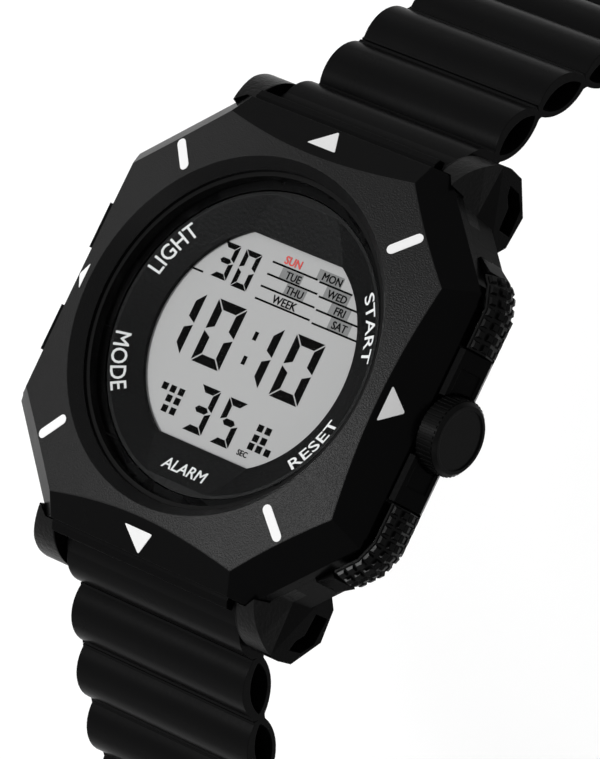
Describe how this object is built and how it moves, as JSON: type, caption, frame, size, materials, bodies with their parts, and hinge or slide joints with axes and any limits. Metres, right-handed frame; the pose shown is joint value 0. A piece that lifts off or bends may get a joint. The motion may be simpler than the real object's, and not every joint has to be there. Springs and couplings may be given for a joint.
{
  "type": "digital wrist watch",
  "caption": "Octagonal black digital wrist watch with a faceted bezel, round crystal over an eight-sided display, nubbed side pushers and an open ribbed rubber strap with pin buckle",
  "frame": {"origin": "centre of the outer face of the case back", "axes": "+X to 3 o'clock, +Y to 12 o'clock, +Z out of the dial"},
  "size_m": [0.0509, 0.1138, 0.1039],
  "materials": {
    "case_resin": "satin moulded black resin",
    "bezel_resin": "charcoal moulded resin with a fine grain",
    "pad_resin": "semi-gloss moulded black resin",
    "crown_resin": "satin moulded black resin",
    "strap_rubber": "satin black rubber",
    "steel": "fine brushed",
    "bright_steel": "bright turned steel",
    "spring_steel": "plain spring steel",
    "crystal_glass": "polished clear",
    "seal_rubber": "matt black",
    "dial_resin": "matt black with white print",
    "display_glass": "grey display with black segments",
    "reflector_foil": "matt foil",
    "backlight_plastic": "pale milky",
    "holder_plastic": "dark grey moulded",
    "board_laminate": "green laminate",
    "chip_plastic": "black package",
    "contact_brass": "plain brass"
  },
  "bodies": {
    "case": {"case_body": "case_resin", "bezel": "bezel_resin", "crown": "crown_resin", "crystal": "crystal_glass", "crystal_gasket": "seal_rubber", "dial_ring": "dial_resin", "lcd_glass": "display_glass", "lcd_reflector": "reflector_foil", "backlight_panel": "backlight_plastic", "lcd_connectors": "seal_rubber", "module_holder": "holder_plastic", "circuit_board": "board_laminate", "control_chip": "chip_plastic", "quartz_crystal": "bright_steel", "side_contacts": "contact_brass", "battery_tray": "holder_plastic", "battery": "bright_steel", "battery_clip": "spring_steel", "buzzer_disc": "contact_brass", "buzzer_spring": "spring_steel", "case_back": "steel", "back_gasket": "seal_rubber", "back_screws": "bright_steel", "stem_seals": "seal_rubber", "spring_bars": "steel"},
    "start_pusher": {"start_pad": "pad_resin", "start_stem": "bright_steel", "start_clip": "spring_steel", "start_spring": "spring_steel"},
    "reset_pusher": {"reset_pad": "pad_resin", "reset_stem": "bright_steel", "reset_clip": "spring_steel", "reset_spring": "spring_steel"},
    "light_pusher": {"light_pad": "pad_resin", "light_stem": "bright_steel", "light_clip": "spring_steel", "light_spring": "spring_steel"},
    "mode_pusher": {"mode_pad": "pad_resin", "mode_stem": "bright_steel", "mode_clip": "spring_steel", "mode_spring": "spring_steel"},
    "buckle_half": {"strap_buckle_half": "strap_rubber"},
    "tail_half": {"strap_tail_half": "strap_rubber"},
    "buckle": {"buckle_frame": "steel", "buckle_pin": "steel"},
    "tongue": {"buckle_tongue": "steel"},
    "keeper": {"keeper": "strap_rubber"}
  },
  "joints": [
    {"name": "start_press", "type": "slide", "parent": "case", "child": "start_pusher", "axis": [-1, 0, 0], "range_m": [0, 0.0007], "stiffness_N_per_m": 800, "springref_m": -0.001, "deforming": ["start_spring"]},
    {"name": "reset_press", "type": "slide", "parent": "case", "child": "reset_pusher", "axis": [-1, 0, 0], "range_m": [0, 0.0007], "stiffness_N_per_m": 800, "springref_m": -0.001, "deforming": ["reset_spring"]},
    {"name": "light_press", "type": "slide", "parent": "case", "child": "light_pusher", "axis": [1, 0, 0], "range_m": [0, 0.0007], "stiffness_N_per_m": 800, "springref_m": -0.001, "deforming": ["light_spring"]},
    {"name": "mode_press", "type": "slide", "parent": "case", "child": "mode_pusher", "axis": [1, 0, 0], "range_m": [0, 0.0007], "stiffness_N_per_m": 800, "springref_m": -0.001, "deforming": ["mode_spring"]},
    {"name": "buckle_half_hinge", "type": "hinge", "parent": "case", "child": "buckle_half", "pos_m": [0, 0.0228, 0.0054], "axis": [-1, 0, 0], "range_deg": [0, 20]},
    {"name": "tail_half_hinge", "type": "hinge", "parent": "case", "child": "tail_half", "pos_m": [0, -0.0228, 0.0054], "axis": [1, 0, 0], "range_deg": [0, 20]},
    {"name": "buckle_hinge", "type": "hinge", "parent": "buckle_half", "child": "buckle", "pos_m": [0, 0.05096, -0.07413], "axis": [1, 0, 0], "range_deg": [0, 55]},
    {"name": "tongue_hinge", "type": "hinge", "parent": "buckle", "child": "tongue", "pos_m": [0, 0.05096, -0.07413], "axis": [1, 0, 0], "range_deg": [0, 45]},
    {"name": "keeper_slide", "type": "slide", "parent": "buckle_half", "child": "keeper", "axis": [0, 0.1392, 0.9903], "range_m": [0, 0.015]}
  ]
}
